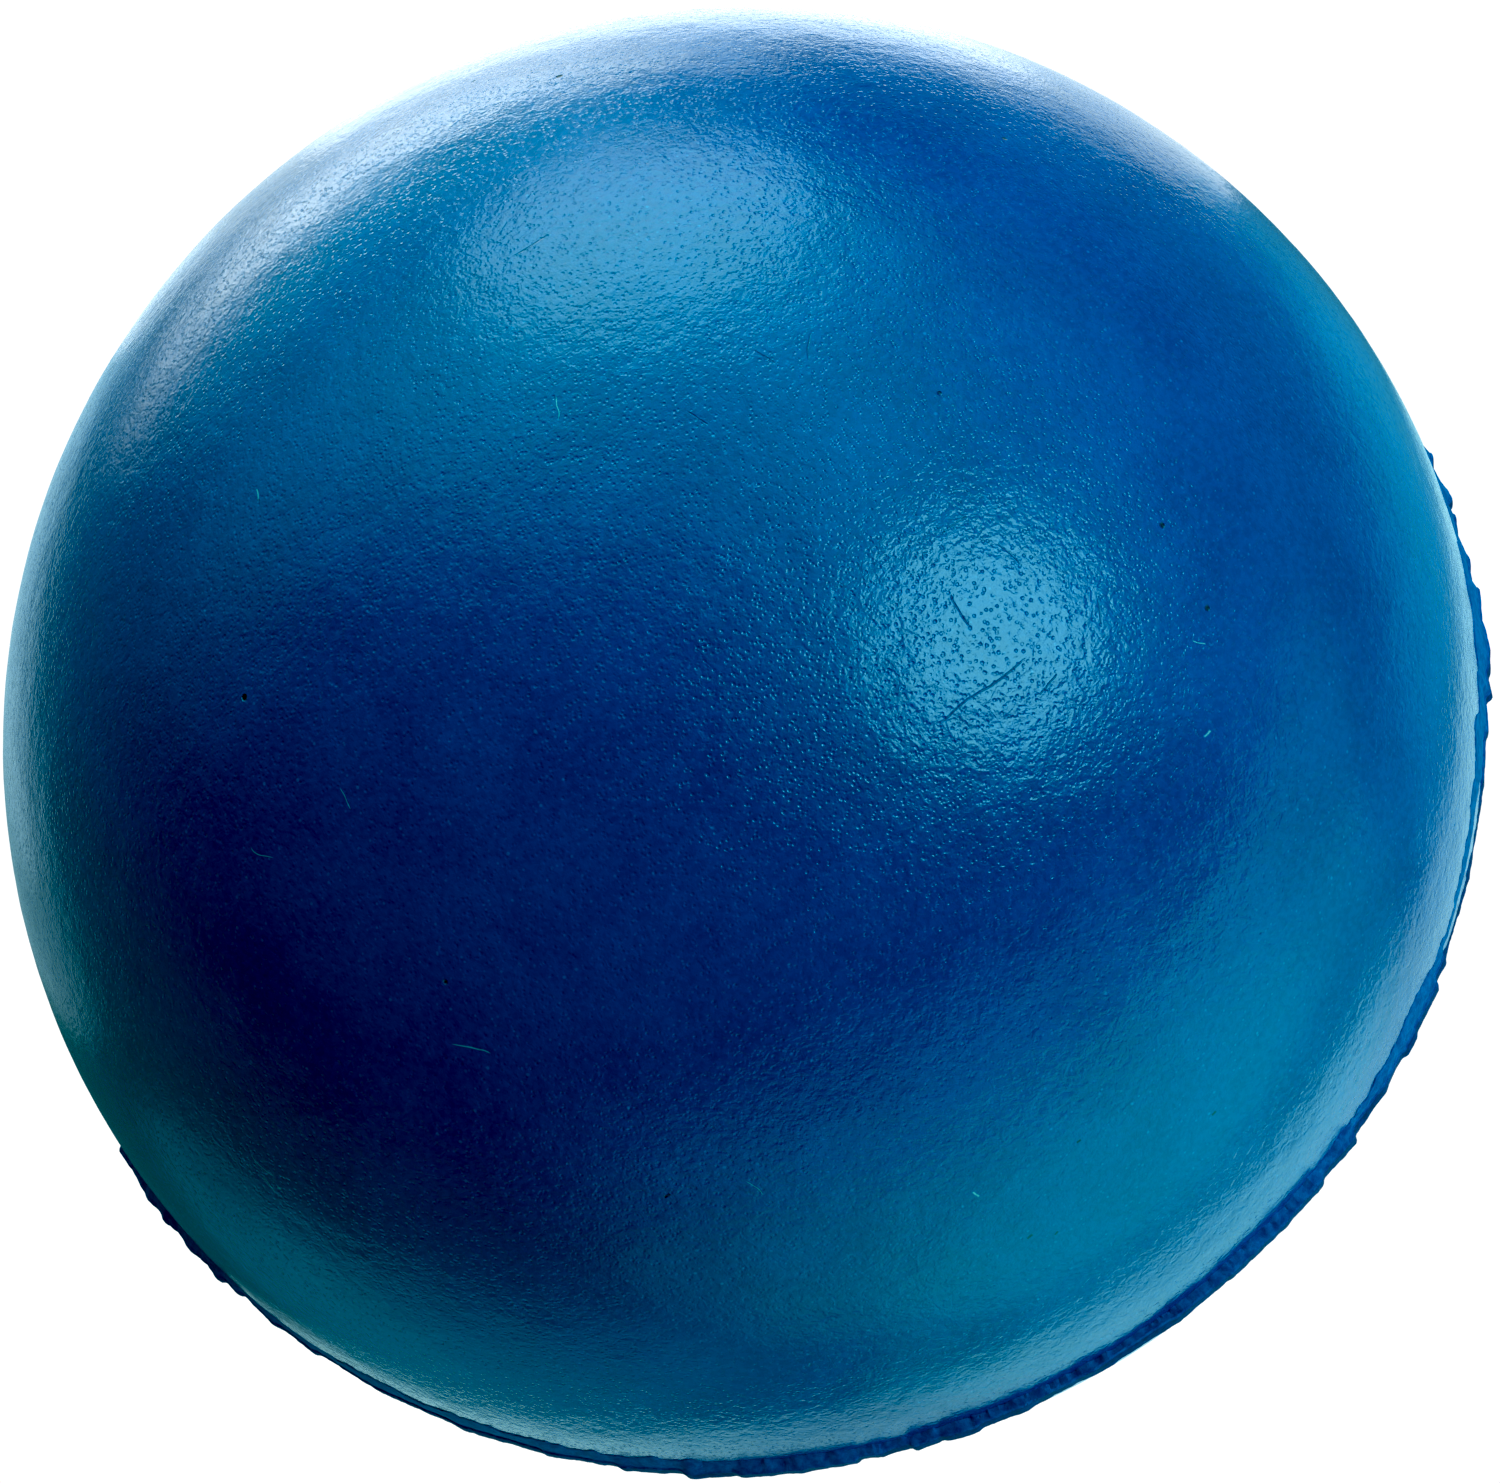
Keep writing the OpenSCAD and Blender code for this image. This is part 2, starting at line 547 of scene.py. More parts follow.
@dataclass(frozen=True)
class SetAdhesive:
    """Amber adhesive, brushed on and squeezed thin."""

    name: str = "set_adhesive"
    body: Colour = (0.62, 0.42, 0.14)
    thick: Colour = (0.40, 0.22, 0.05)
    bubble: Colour = (0.8, 0.66, 0.35)

    def build(self) -> bpy.types.Material:
        """Makes the material.

        Returns:
            The material.
        """
        graph = Graph(self.name, {"IOR": 1.5, "Coat Roughness": 0.2})
        smear = graph.noise(4 * MM, 4.0, 0.6, 1.5)
        gap, chance = graph.cells(1.8 * MM)
        bubbles = gap.ramp(0.1, 0.22, 1.0, 0.0) * chance.ramp(0.6, 0.7)
        colour = graph.blend(smear.ramp(0.3, 0.7), self.body, self.thick)
        colour = graph.blend(bubbles * 0.5, colour, self.bubble)
        return graph.finish(colour, 0.3 + smear * 0.3, smear * (0.06 * MM) + bubbles * (0.05 * MM))


# --------------------------------------------------------------------- meshes


class Turn(Enum):
    """Which way up a half of the casing lies."""

    UPPER = 1
    LOWER = -1


@dataclass
class MeshParts:
    """Vertices and faces, gathered before they become one mesh."""

    corners: list[np.ndarray] = field(default_factory=list)
    faces: list[list[int]] = field(default_factory=list)
    count: int = 0

    def add(self, points: np.ndarray) -> np.ndarray:
        """Adds vertices.

        Args:
            points: Their places, one row each.

        Returns:
            Their numbers.
        """
        first = self.count
        self.corners.append(points.reshape(-1, 3))
        self.count += len(self.corners[-1])
        return np.arange(first, self.count)

    def band(self, ring: np.ndarray, following: np.ndarray) -> None:
        """Joins two closed rings that have as many points as each other with quads.

        Args:
            ring: The numbers of one ring.
            following: The numbers of the next.
        """
        ahead, beyond = np.roll(ring, -1), np.roll(following, -1)
        self.faces += np.stack([ring, ahead, beyond, following], 1).tolist()

    def fan_band(self, fine: np.ndarray, coarse: np.ndarray) -> None:
        """Joins a ring to one with a whole fraction of its points.

        Args:
            fine: The ring with more points.
            coarse: The ring with fewer.
        """
        step = len(fine) // len(coarse)
        for k, inner in enumerate(coarse):
            after = coarse[(k + 1) % len(coarse)]
            outer = [int(fine[(k * step + j) % len(fine)]) for j in range(step + 1)]
            half = step // 2
            self.faces += [[outer[j], outer[j + 1], int(inner)] for j in range(half)]
            self.faces += [[outer[j], outer[j + 1], int(after)] for j in range(half, step)]
            self.faces.append([outer[half], int(after), int(inner)])

    def turned(self) -> None:
        """Turns every face over."""
        self.faces = [face[::-1] for face in self.faces]

    def build(self, name: str, material: bpy.types.Material, sharp: float = 40.0) -> bpy.types.Object:
        """Makes the object.

        Args:
            name: The object's name.
            material: Its material.
            sharp: The angle in degrees above which an edge stays crisp.

        Returns:
            The object, linked to the scene.
        """
        mesh = bpy.data.meshes.new(name)
        mesh.from_pydata(np.concatenate(self.corners).tolist(), [], self.faces)
        mesh.update()
        mesh.shade_smooth()
        mesh.set_sharp_from_angle(angle=math.radians(sharp))
        mesh.materials.append(material)
        made = bpy.data.objects.new(name, mesh)
        bpy.context.scene.collection.objects.link(made)
        return made


@dataclass(frozen=True)
class DomeGrid:
    """A square grid bent over a dome, with cells of equal area."""

    cells: int
    rim_latitude: float = 0.0

    def directions(self) -> np.ndarray:
        """The unit vectors from the dome's centre to the grid's points.

        Returns:
            One row for each point, the square's rows one after another.
        """
        side = np.linspace(-1.0, 1.0, self.cells + 1)
        a, b = np.meshgrid(side, side, indexing="ij")
        wide = np.abs(a) > np.abs(b)
        radius = np.where(wide, a, b)
        safe_a, safe_b = np.where(wide, a, 1.0), np.where(wide, 1.0, np.where(b == 0, 1.0, b))
        angle = np.where(wide, math.pi / 4 * b / safe_a, math.pi / 2 - math.pi / 4 * a / safe_b)
        angle = np.where((a == 0) & (b == 0), 0.0, angle)
        height = 1.0 - radius**2 * (1.0 - math.sin(math.radians(self.rim_latitude)))
        flat = np.sign(radius) * np.sqrt(1.0 - height**2)
        return np.stack([flat * np.cos(angle), flat * np.sin(angle), height], -1).reshape(-1, 3)

    def quads(self, first: int) -> list[list[int]]:
        """The grid's faces, seen from outside the dome.

        Args:
            first: The number of its first vertex.

        Returns:
            The faces.
        """
        n = self.cells + 1
        i, j = np.meshgrid(np.arange(self.cells), np.arange(self.cells), indexing="ij")
        low = first + i * n + j
        return np.stack([low, low + n, low + n + 1, low + 1], -1).reshape(-1, 4).tolist()

    def rim(self, first: int) -> np.ndarray:
        """The numbers of the edge's vertices, from +X round towards +Y.

        Args:
            first: The number of the first vertex.

        Returns:
            The vertex numbers, four for each cell of a side.
        """
        n, half = self.cells, self.cells // 2

        def at(i: int, j: int) -> int:
            """The number of the vertex in row i and column j."""
            return first + i * (n + 1) + j

        ring = [at(n, j) for j in range(half, n)]
        ring += [at(i, n) for i in range(n, 0, -1)]
        ring += [at(0, j) for j in range(n, 0, -1)]
        ring += [at(i, 0) for i in range(n)]
        ring += [at(n, j) for j in range(half)]
        return np.array(ring)


def smooth_noise(points: np.ndarray, grain: float, seed: float, octaves: int = 2) -> np.ndarray:
    """Soft noise at many points.

    Args:
        points: The places, one row each.
        grain: The size of the noise's features.
        seed: A shift that gives each use its own pattern.
        octaves: How many layers it has.

    Returns:
        A number of about -1 to 1 for each point.
    """
    shift = Vector((seed, 1.7 * seed, -0.6 * seed))
    return np.array([
        noise.fractal(Vector(p) / grain + shift, 0.6, 2.1, octaves, noise_basis="PERLIN_ORIGINAL")
        for p in points
    ])


@dataclass
class Form:
    """The ball's sizes, read from the CAD pieces."""

    radius: float
    lower_radius: float
    shift: float
    cavity: float
    tongue_radius: float
    tongue_height: float
    groove_height: float
    tongue_width: float = 2.4 * MM
    tongue_gap: float = 0.15 * MM
    flash_proud: float = 0.1 * MM

    @classmethod
    def from_frame(cls) -> "Form":
        """Reads the sizes.

        Returns:
            The sizes.
        """
        upper_low, upper_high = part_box("upper_shell")
        lower_low, lower_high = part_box("lower_shell")
        weld_low, weld_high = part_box("seam_weld")
        groove = cls.tongue_width + 2 * cls.tongue_gap
        return cls(
            radius=upper_high.z,
            lower_radius=-lower_low.z,
            shift=(lower_high.y + lower_low.y) / 2,
            cavity=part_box("bond_layer")[1].z,
            tongue_radius=weld_high.x - groove / 2,
            tongue_height=-upper_low.z,
            groove_height=-weld_low.z,
        )

    def skin(self, turn: Turn) -> tuple[float, Vector]:
        """A half's skin.

        Args:
            turn: Which half.

        Returns:
            Its radius and its centre.
        """
        if turn is Turn.UPPER:
            return self.radius, Vector()
        return self.lower_radius, Vector((0.0, self.shift, 0.0))


@dataclass
class HalfShell:
    """One half of the casing: a dimpled dome, the joint's tongue or groove, and the smooth cavity."""

    form: Form
    turn: Turn
    name: str
    node: str
    seed: float
    cells: int = 280
    inner_share: int = 4
    inner_rim: float = 1.5
    out_of_round: float = 0.07 * MM
    waviness: float = 0.022 * MM
    lip: float = 0.05 * MM
    lip_reach: float = 0.9 * MM
    ease: float = 0.2 * MM

    def relief(self, ways: np.ndarray) -> np.ndarray:
        """How far the skin stands out from a true sphere.

        Args:
            ways: Unit vectors, one row each.

        Returns:
            The height at each, in metres.
        """
        places = ways * self.form.radius
        broad = smooth_noise(places, 26 * MM, self.seed, 1) * self.out_of_round
        fine = smooth_noise(places, 4.2 * MM, self.seed + 11, 3) * self.waviness
        near_rim = np.exp(-np.abs(ways[:, 2]) * self.form.radius / self.lip_reach)
        return broad + fine + near_rim * self.lip * smooth_noise(places, 1.6 * MM, self.seed + 23, 2)

    def joint_profile(self) -> list[tuple[float, float]]:
        """The section of the joint, from the rim in to the cavity.

        Returns:
            The radius and height of each corner.
        """
        form, ease = self.form, self.ease
        wide = form.tongue_width / 2
        depth = form.tongue_height
        if self.turn is Turn.LOWER:
            wide += form.tongue_gap
            depth = form.groove_height
        outer, inner = form.tongue_radius + wide, form.tongue_radius - wide
        return [
            (outer, 0.0), (outer, -depth + ease), (outer - ease, -depth),
            (inner + ease, -depth), (inner, -depth + ease), (inner, 0.0), (form.cavity, 0.0),
        ]

    def build(self, material: bpy.types.Material) -> bpy.types.Object:
        """Makes the half and hides the CAD node that it stands for.

        Args:
            material: The casing's skin.

        Returns:
            The half.
        """
        radius, centre = self.form.skin(self.turn)
        up = np.array([1.0, 1.0, float(self.turn.value)])
        parts = MeshParts()
        dome = DomeGrid(self.cells)
        ways = dome.directions()
        ways[:, 2] = np.maximum(ways[:, 2], 0.0)
        skin = (ways * (radius + self.relief(ways * up))[:, None]) * up + np.array(centre)
        first = int(parts.add(skin)[0])
        parts.faces += dome.quads(first)
        ring = dome.rim(first)
        angles = np.arange(len(ring)) * 2 * math.pi / len(ring)
        for reach, height in self.joint_profile():
            line = np.stack([reach * np.cos(angles), reach * np.sin(angles), np.full(len(angles), height)], 1)
            following = parts.add(line)
            parts.band(following, ring)
            ring = following
        cavity = DomeGrid(self.cells // self.inner_share, self.inner_rim)
        first = int(parts.add(cavity.directions() * up * self.form.cavity)[0])
        parts.faces += [quad[::-1] for quad in cavity.quads(first)]
        parts.fan_band(ring[::-1], cavity.rim(first)[::-1])
        if self.turn is Turn.LOWER:
            parts.turned()
        made = parts.build(self.name, material)
        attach(made, BODY)
        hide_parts(self.node)
        return made


# Corners between the strokes of the trimming knife on the -Y side: degrees from +X towards -Y,
# and how much further out than the closest cut, in millimetres. The same as in the CAD source.
FRONT_CUTS = [
    (0, 0.2), (3, 0.4), (5, 0.1), (9, 0), (10.5, 0.5), (13.5, 0.1), (14.5, 0), (16.5, 0.35),
    (19, 0.05), (21, 0.25), (24, 0.5), (26, 0.35), (28, 0.5), (30, 0.2), (33, 0.05), (37, 0),
    (44, 0), (51, 0), (53, 0.2), (57, 0.35), (59, 0.3), (62, 0.1), (66, 0.25), (70, 0.5),
    (74, 0.5), (80, 0.55), (85, 0.45), (91, 0.45), (97, 0.5), (101, 0.55), (103.5, 0.65),
    (106, 0.4), (108, 0.3), (110, 0.5), (114, 0.55), (119, 0.55), (123, 0.35), (128, 0.25),
    (134, 0.15), (141, 0.1), (148, 0.05), (154, 0.1), (156, 0.2), (158, 0.1), (162, 0.3),
    (164, 0.35), (166, 0.6), (167.5, 0.45), (169.5, 0.65), (170.5, 0.55), (171.5, 0.8),
    (173, 0.55), (176, 0.75), (178, 0.7),
]
BACK_STROKES = 30


def back_cuts() -> list[tuple[float, float]]:
    """The corners of the knife's strokes on the +Y side, by the CAD source's own rule.

    Returns:
        The azimuth and the extra height of each corner.
    """
    def sine(degrees: float) -> float:
        """The sine of an angle in degrees."""
        return math.sin(math.radians(degrees))

    cuts = []
    for i in range(BACK_STROKES):
        azimuth = 180 + 180 * (i + 0.5 + 0.35 * sine(137 * i)) / BACK_STROKES
        cuts.append((azimuth, 0.3 + 0.2 * sine(97 * i) + 0.1 * sine(61 * i)))
    return cuts


# How high the root of the flash climbs on the skin: degrees from +X towards -Y, and millimetres.
ROOT_TOPS = (
    (0, 1.5), (28, 2.9), (36, 3.5), (45, 2.0), (51, 1.3), (56, 2.3), (66, 0.8), (88, 0.35), (102, 0.4),
    (115, 1.0), (130, 2.1), (150, 2.8), (163, 1.1), (180, 1.5), (215, 0.9), (250, 1.8), (290, 1.0),
    (330, 2.0), (360, 1.5),
)


@dataclass
class TrimmedFlash:
    """The flash round the parting line: a thick root and a fin cut back by hand with a knife."""

    form: Form
    name: str = "trimmed_flash"
    steps: int = 1800
    seed: int = 7
    bottom_edge: float = 2.3 * MM
    cut_bands: tuple[int, int] = (4, 8)

    def fin_reach(self, angles: np.ndarray) -> np.ndarray:
        """The radius of the fin's edge, straight between the corners of the knife's strokes.

        Args:
            angles: Degrees from +X towards -Y.

        Returns:
            The radius at each.
        """
        cuts = [(a, self.form.radius + self.form.flash_proud + h * MM) for a, h in FRONT_CUTS + back_cuts()]
        cuts.append((cuts[0][0] + 360.0, cuts[0][1]))
        corners = np.array(cuts)
        k = np.clip(np.searchsorted(corners[:, 0], angles, side="right") - 1, 0, len(corners) - 2)
        a0, r0 = corners[k, 0], corners[k, 1]
        a1, r1 = corners[k + 1, 0], corners[k + 1, 1]
        before, after, whole = (np.radians(v) for v in (angles - a0, a1 - angles, a1 - a0))
        return r0 * r1 * np.sin(whole) / (r0 * np.sin(after) + r1 * np.sin(before))

    def stroke_tilt(self, angles: np.ndarray) -> np.ndarray:
        """How far each stroke leans, which is the same all along a stroke.

        Args:
            angles: Degrees from +X towards -Y.

        Returns:
            The lean at each, from -1 to 1.
        """
        corners = np.array([a for a, _ in FRONT_CUTS + back_cuts()])
        draw = random.Random(self.seed)
        leans = np.array([draw.uniform(-1.0, 1.0) for _ in range(len(corners) + 1)])
        return self.softened(leans[np.searchsorted(corners, angles, side="right")], 0.5)

    def softened(self, levels: np.ndarray, spread: float) -> np.ndarray:
        """Rounds off the steps in a ring of numbers.

        Args:
            levels: One number for each step round the ring.
            spread: How far each is spread, in degrees.

        Returns:
            The rounded numbers.
        """
        reach = np.fft.rfftfreq(self.steps, 1.0 / self.steps) * math.radians(spread)
        return np.fft.irfft(np.fft.rfft(levels) * np.exp(-0.5 * reach**2), self.steps)

    def ragged(self, circle: np.ndarray, grain: float, seed: float) -> np.ndarray:
        """Noise round the ball.

        Args:
            circle: Unit vectors round the parting line, one row each.
            grain: The size of its features, in metres.
            seed: A shift that gives each use its own pattern.

        Returns:
            A number of about -1 to 1 for each step.
        """
        return smooth_noise(circle * self.form.radius, grain, seed, 3)

    def skin_radius(self, turn: Turn, angles: np.ndarray, heights: np.ndarray) -> np.ndarray:
        """How far a half's skin lies from the Z axis.

        Args:
            turn: Which half.
            angles: Radians from +X towards -Y.
            heights: The height at each angle.

        Returns:
            The distance at each.
        """
        radius, centre = self.form.skin(turn)
        flat = np.sqrt(radius**2 - heights**2)
        along = -centre.y * np.sin(angles)
        return along + np.sqrt(np.maximum(flat**2 - (centre.y * np.cos(angles)) ** 2, 0.0))

    def build(self, root: bpy.types.Material, cut: bpy.types.Material) -> bpy.types.Object:
        """Makes the flash and hides the CAD node that it stands for.

        Args:
            root: The moulded root's plastic, painted lighter: painted light on the flash's upper faces.
            cut: The fin's knife-cut plastic, painted darker: painted shade on the fin's edge faces.

        Returns:
            The flash.
        """
        degrees = np.arange(self.steps) * 360.0 / self.steps
        angles = np.radians(degrees)
        circle = np.stack([np.cos(angles), -np.sin(angles), np.zeros(self.steps)], 1)
        wander, teeth = self.ragged(circle, 9 * MM, 3.0), self.ragged(circle, 0.9 * MM, 5.0)
        fray, bite = self.ragged(circle, 0.5 * MM, 9.0), self.ragged(circle, 2.2 * MM, 14.0)
        lean = self.stroke_tilt(degrees) * 0.05 * MM
        climb = self.softened(np.interp(degrees, *zip(*ROOT_TOPS)), 2.0) * MM
        top = climb * (1.0 + 0.2 * wander + 0.25 * bite) + teeth * 0.22 * MM + fray * 0.12 * MM
        top = np.maximum(top, 0.25 * MM)
        bottom = -(self.bottom_edge + wander * 0.3 * MM + bite * 0.3 * MM + teeth * 0.12 * MM)
        reach = self.softened(self.fin_reach(degrees), 0.16) + (fray * 0.03 + teeth * 0.03) * MM
        fin_top = 0.18 * MM + teeth * 0.06 * MM
        fin_low = -(0.75 * MM + bite * 0.2 * MM)
        sunk, torn = 0.06 * MM, 0.05 * MM

        def upper(heights: np.ndarray) -> np.ndarray:
            """The upper half's skin."""
            return self.skin_radius(Turn.UPPER, angles, heights)

        def lower(heights: np.ndarray) -> np.ndarray:
            """The lower half's skin."""
            return self.skin_radius(Turn.LOWER, angles, heights)

        mid_top, mid_low = 0.5 * (top + fin_top), 0.5 * (bottom + fin_low)
        sections = [
            (upper(top) - sunk, top + 0.02 * MM),
            (upper(top) + torn * (0.6 + 0.4 * teeth), top - 0.05 * MM),
            (upper(mid_top) + 0.35 * (reach - self.form.radius) + torn, mid_top),
            (reach - 0.12 * MM - lean, fin_top + 0.10 * MM),
            (reach - 0.02 * MM - lean, fin_top),
            (reach + lean * 0.3 + fray * 0.015 * MM, 0.5 * (fin_top + fin_low)),
            (reach + lean - 0.02 * MM, fin_low),
            (reach + lean - 0.14 * MM, fin_low - 0.10 * MM),
            (lower(mid_low) + 0.3 * (reach - lower(mid_low)) + fray * 0.03 * MM, mid_low),
            (lower(bottom) + torn, bottom + 0.06 * MM),
            (lower(bottom) - sunk, bottom),
            (lower(0.5 * bottom) - 0.5 * MM, 0.5 * bottom),
            (upper(0.5 * top) - 0.5 * MM, 0.5 * top),
        ]
        parts = MeshParts()
        rings = [
            parts.add(np.stack([edge * np.cos(angles), -edge * np.sin(angles), height], 1))
            for edge, height in sections
        ]
        for ring, following in zip(rings, rings[1:] + rings[:1]):
            parts.band(ring, following)
        made = parts.build(self.name, root, 28.0)
        made.data.materials.append(cut)
        # Bands four to seven, the fin's edge faces, take the darker copy: painted shade.
        first_cut, past_cut = (band * self.steps for band in self.cut_bands)
        for face in made.data.polygons[first_cut:past_cut]:
            face.material_index = 1
        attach(made, BODY)
        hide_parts("parting_flash")
        return made


@dataclass(frozen=True)
class Core:
    """What the casing holds: the pill, the composition ball, the adhesive coat and the weld."""

    pill: PressedCork = PressedCork(
        "cork_pill", (0.42, 0.24, 0.11), (0.22, 0.11, 0.04), (0.10, 0.05, 0.02), 1.6 * MM, 0.62)
    ball: PressedCork = PressedCork(
        "cork_and_rubber", (0.26, 0.13, 0.06), (0.12, 0.055, 0.025), (0.02, 0.016, 0.014), 2.4 * MM, 0.5)
    adhesive: SetAdhesive = SetAdhesive()
    weld: CutCasing = CutCasing("weld_bead", (0.0, 0.05, 0.2), (0.0, 0.025, 0.12), 1.2 * MM)

    def dress(self) -> None:
        """Gives each carried-over CAD piece its own finish."""
        finishes = {
            "core_pill": self.pill, "core_ball": self.ball,
            "bond_layer": self.adhesive, "seam_weld": self.weld,
        }
        for node, finish in finishes.items():
            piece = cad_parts[node]
            piece.data.materials.clear()
            piece.data.materials.append(finish.build())
            log.info("dressed %s with %s", node, finish.name)


# ---------------------------------------------------------------------- studio


@dataclass(frozen=True)
class Softbox:
    """A round or oval diffuser that faces the ball."""

    name: str
    azimuth: float
    elevation: float
    distance: float
    width: float
    radiance: float
    height: float = 0.0
    tint: Colour = (1.0, 1.0, 1.0)
    steps: int = 1
    taper: float = 0.75

    def stand(self) -> tuple[Vector, Quaternion]:
        """Where the lamp stands and which way it faces.

        Returns:
            Its place and its turn.
        """
        a, e = math.radians(self.azimuth), math.radians(self.elevation)
        way = Vector((math.sin(a) * math.cos(e), -math.cos(a) * math.cos(e), math.sin(e)))
        return way * self.distance, (-way).to_track_quat("-Z", "Y")

    def build(self) -> None:
        """Makes the lamp: one disc, or rounded layers that fade out towards its edge."""
        place, turn = self.stand()
        for step in range(self.steps):
            share = 1.0 - self.taper * step / self.steps
            data = bpy.data.lights.new(f"{self.name}_{step}", "AREA")
            data.shape = "ELLIPSE" if self.height else "DISK"
            data.size = self.width * share
            data.size_y = (self.height or self.width) * share
            area = math.pi * data.size * data.size_y / 4
            data.energy = self.radiance / self.steps * math.pi * area
            data.color = self.tint
            lamp = bpy.data.objects.new(f"{self.name}_{step}", data)
            lamp.rotation_mode = "QUATERNION"
            lamp.rotation_quaternion = turn
            lamp.location = place + turn @ Vector((0.0, 0.0, -step * MM))
            lamp.visible_camera = False
            bpy.context.scene.collection.objects.link(lamp)


@dataclass(frozen=True)
class TablePanel(Softbox):
    """A patch of the light table that glows upwards; its azimuth and distance say where it lies."""

    level: float = 0.0

    def stand(self) -> tuple[Vector, Quaternion]:
        """Where the panel lies: flat on the table, facing up.

        Returns:
            Its place and its turn.
        """
        a = math.radians(self.azimuth)
        place = Vector((math.sin(a) * self.distance, -math.cos(a) * self.distance, self.level))
        return place, Quaternion((0.0, 0.0, 1.0), a) @ Quaternion((1.0, 0.0, 0.0), math.pi)


@dataclass
class Studio:
    """The table that the ball stands on, the tinted soft lamps, the white backdrop and the dim room."""

    form: Form
    floor_radius: float = 2.6
    floor_tone: float = 0.30
    disc_sides: int = 128
    room: float = 0.012
    grade: Colour = (0.062, 0.030, 0.046)
    contrast: float = 1.22

    def lamps(self) -> list[Softbox]:
        """The lamps round the ball and the glowing patches of the table.

        Returns:
            The lamps.
        """
        level = -self.form.lower_radius + 1 * MM
        teal, sea, azure = (0.22, 0.96, 1.0), (0.22, 1.0, 0.90), (0.15, 0.86, 1.15)
        glow, pale = (0.10, 1.00, 0.93), (0.66, 0.99, 1.0)
        warm, cool = (1.02, 0.98, 0.94), (0.66, 0.90, 1.05)
        return [
            Softbox("key_softbox", 57.0, 41.6, 1.0, 0.56, 5.9, tint=(0.74, 0.90, 0.98)),
            Softbox("key_halo", 64.0, 48.0, 1.0, 1.5, 1.0, tint=glow, steps=3),
            Softbox("back_softbox", 157.4, 30.3, 1.0, 0.70, 2.75, tint=(1.07, 0.89, 0.96)),
            Softbox("back_halo", 152.0, 51.0, 1.0, 1.75, 1.25, tint=glow, steps=3),
            Softbox("back_wall", 176.0, 38.0, 1.0, 2.2, 1.0, 1.3, teal, steps=4),
            Softbox("back_low_wall", 178.0, 4.0, 1.0, 1.3, 1.5, 0.36, teal, steps=2),
            Softbox("left_wall", -146.0, 16.0, 1.0, 1.1, 0.33, tint=sea, steps=3),
            Softbox("back_right_wall", 122.0, 30.0, 1.0, 1.2, 0.5, tint=teal, steps=3),
            Softbox("right_wall", 80.0, 14.0, 1.0, 1.7, 0.6, 0.9, azure, steps=4),
            Softbox("front_wall", -2.0, 2.0, 1.0, 2.1, 1.3, 0.55, azure, steps=4),
            TablePanel("table_back_near", 160.0, 0.0, 0.134, 0.180, 2.25, 0.16, level=level, steps=2),
            TablePanel("table_back_far", 180.0, 0.0, 0.41, 0.42, 5.3, 0.42, warm, level=level, steps=3),
            TablePanel("table_left", -146.0, 0.0, 0.112, 0.15, 0.9, 0.10, cool, level=level, steps=2),
            TablePanel("table_left_front", -60.0, 0.0, 0.112, 0.17, 0.6, 0.10, azure, level=level, steps=2),
            TablePanel("table_right", 88.0, 0.0, 0.105, 0.14, 0.7, 0.08, azure, level=level, steps=2),
            TablePanel("table_foot", 17.0, 0.0, 0.019, 0.136, 1.16, 0.132, pale, level=level),
            TablePanel("table_front_near", 12.0, 0.0, 0.160, 0.25, 1.2, 0.20, sea, level=level, steps=2),
            TablePanel("table_front_far", 14.0, 0.0, 0.44, 1.0, 1.75, 0.68, sea, level=level, steps=3),
        ]

    def disc(self, name: str, radius: float, level: float, material: bpy.types.Material) -> bpy.types.Object:
        """A flat disc that faces up.

        Args:
            name: Its name.
            radius: Its radius.
            level: Its height.
            material: Its finish.

        Returns:
            The disc.
        """
        parts = MeshParts()
        angles = np.arange(self.disc_sides) * 2 * math.pi / self.disc_sides
        points = np.stack([radius * np.cos(angles), radius * np.sin(angles), np.full_like(angles, level)], 1)
        parts.faces.append(parts.add(points).tolist())
        return parts.build(name, material)

    def floor(self) -> None:
        """The table top, which is hidden from the camera so that the ball stands on white."""
        graph = Graph("table_top", {"Specular IOR Level": 0.2, "Roughness": 0.7})
        tone = graph.noise(0.05, 2.0).ramp(0.2, 0.8)
        light, dark = (self.floor_tone,) * 3, (self.floor_tone - 0.02,) * 3
        material = graph.finish(graph.blend(tone, dark, light))
        made = self.disc("table_top", self.floor_radius, -self.form.lower_radius, material)
        made.visible_camera = False

    def backdrop(self) -> None:
        """A white dome all round that only the camera sees."""
        graph = Graph("backdrop_white", {"Base Color": (0.0, 0.0, 0.0, 1.0), "Specular IOR Level": 0.0,
                                         "Emission Color": (1.0, 1.0, 1.0, 1.0), "Emission Strength": 1.05})
        parts = MeshParts()
        dome = DomeGrid(12)
        radius = 1.5 * self.floor_radius
        for side in (1.0, -1.0):
            first = int(parts.add(dome.directions() * np.array([1.0, 1.0, side]) * radius)[0])
            quads = dome.quads(first)
            parts.faces += quads if side < 0 else [quad[::-1] for quad in quads]
        made = parts.build("backdrop_white", graph.finish())
        made.visible_diffuse = made.visible_glossy = made.visible_transmission = made.visible_shadow = False

    def build(self) -> None:
        """Makes the table, the backdrop, the lamps and the room."""
        self.floor()
        self.backdrop()
        for lamp in self.lamps():
            lamp.build()
        world = bpy.data.worlds.new("room")
        world.use_nodes = True
        back = next(n for n in world.node_tree.nodes if n.type == "BACKGROUND")
        back.inputs["Color"].default_value = (self.room,) * 3 + (1.0,)
        bpy.context.scene.world = world
        look = bpy.context.scene.view_settings
        look.view_transform = "Standard"
        look.use_curve_mapping = True
        look.curve_mapping.black_level = self.grade
        look.curve_mapping.update()
        look.gamma = 1.0 / self.contrast


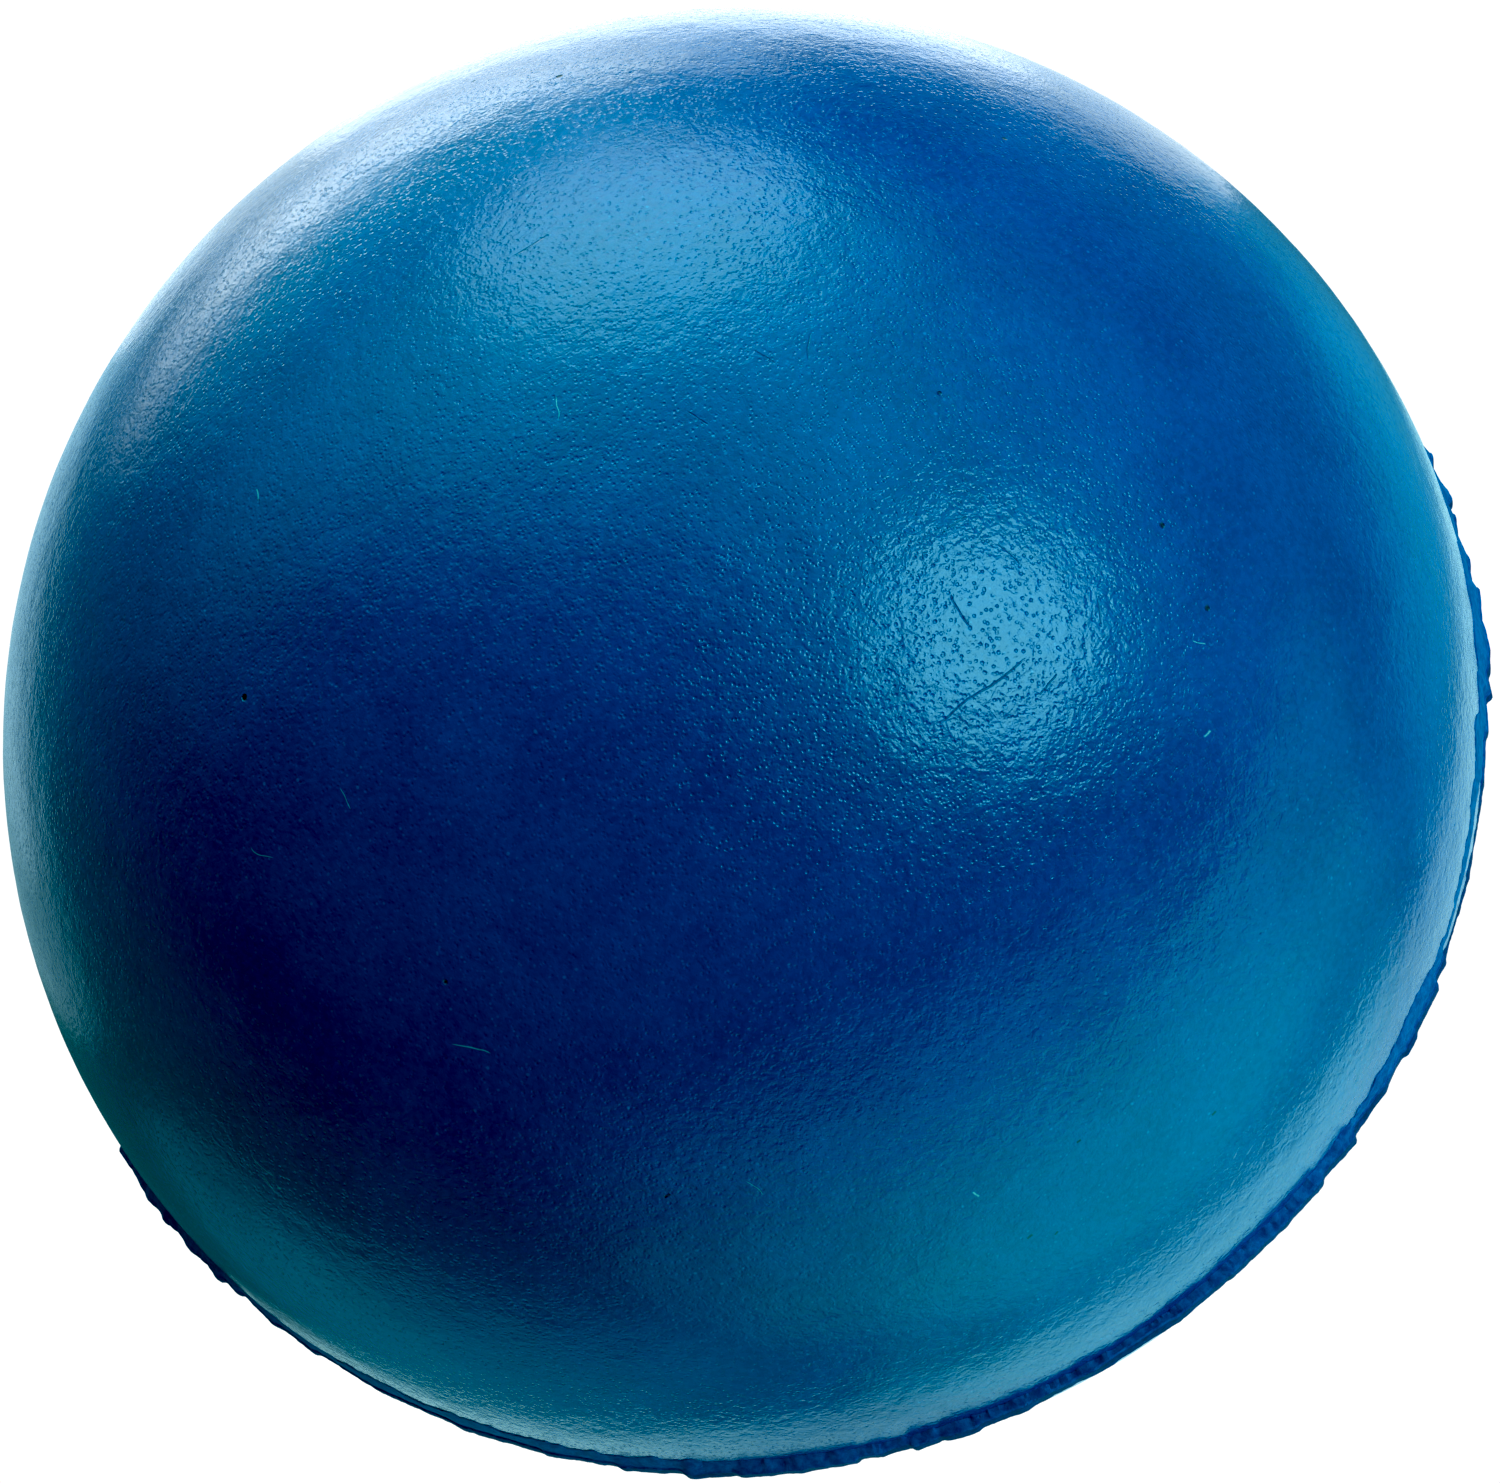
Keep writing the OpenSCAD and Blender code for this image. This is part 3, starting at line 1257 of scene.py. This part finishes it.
@dataclass(frozen=True)
class Viewpoint:
    """The camera: close to the ball, looking down on the upper half and rolled to one side."""

    elevation: float = 64.0
    roll: float = -31.0
    radii_away: float = 6.0
    fill: float = 0.4943
    aim_right: float = 0.32 * MM
    aim_up: float = 0.17 * MM
    sensor: float = 36.0

    def build(self, form: Form) -> bpy.types.Object:
        """Makes the scene's camera.

        Args:
            form: The ball's sizes.

        Returns:
            The camera.
        """
        e = math.radians(self.elevation)
        back = Vector((0.0, -math.cos(e), math.sin(e)))
        turn = (-back).to_track_quat("-Z", "Y") @ Quaternion((0.0, 0.0, 1.0), math.radians(self.roll))
        data = bpy.data.cameras.new("camera")
        data.sensor_width = self.sensor
        data.lens = self.sensor * self.fill * math.sqrt(self.radii_away**2 - 1.0)
        data.clip_start, data.clip_end = 0.01, 20.0
        camera = bpy.data.objects.new("camera", data)
        camera.rotation_mode = "QUATERNION"
        camera.rotation_quaternion = turn
        aim = turn @ Vector((self.aim_right, self.aim_up, 0.0))
        camera.location = aim + back * form.radius * self.radii_away
        bpy.context.scene.collection.objects.link(camera)
        bpy.context.scene.camera = camera
        return camera


def main() -> None:
    """Builds the camera, the ball and the studio, and reports each piece."""
    logging.basicConfig(level=logging.INFO, format="%(name)s: %(message)s")
    form = Form.from_frame()
    log.info("ball radius %.1f mm, lower half %.1f mm", form.radius / MM, form.lower_radius / MM)
    Viewpoint().build(form)
    skin = MouldedSkin(scratches=SCORES, hairs=LINT, pinhole_shade=PINHOLE_SHADE).build()
    for turn, name, node, seed in (
        (Turn.UPPER, "upper_casing", "upper_shell", 2.0),
        (Turn.LOWER, "lower_casing", "lower_shell", 31.0),
    ):
        half = HalfShell(form, turn, name, node, seed).build(skin)
        log.info("%s: %d faces", half.name, len(half.data.polygons))
    # Lit and shaded copies of one plastic: the root is painted lighter as painted light, the cut plastic
    # darker as painted shade.
    root = CutCasing("flash_root", (0.0, 0.170, 0.42), (0.0, 0.080, 0.27)).build()
    cut = CutCasing("cut_casing_painted_shade", (0.0, 0.040, 0.21), (0.0, 0.012, 0.10)).build()
    flash = TrimmedFlash(form).build(root, cut)
    log.info("%s: %d faces", flash.name, len(flash.data.polygons))
    Core().dress()
    Studio(form).build()


if __name__ == "__main__":
    main()
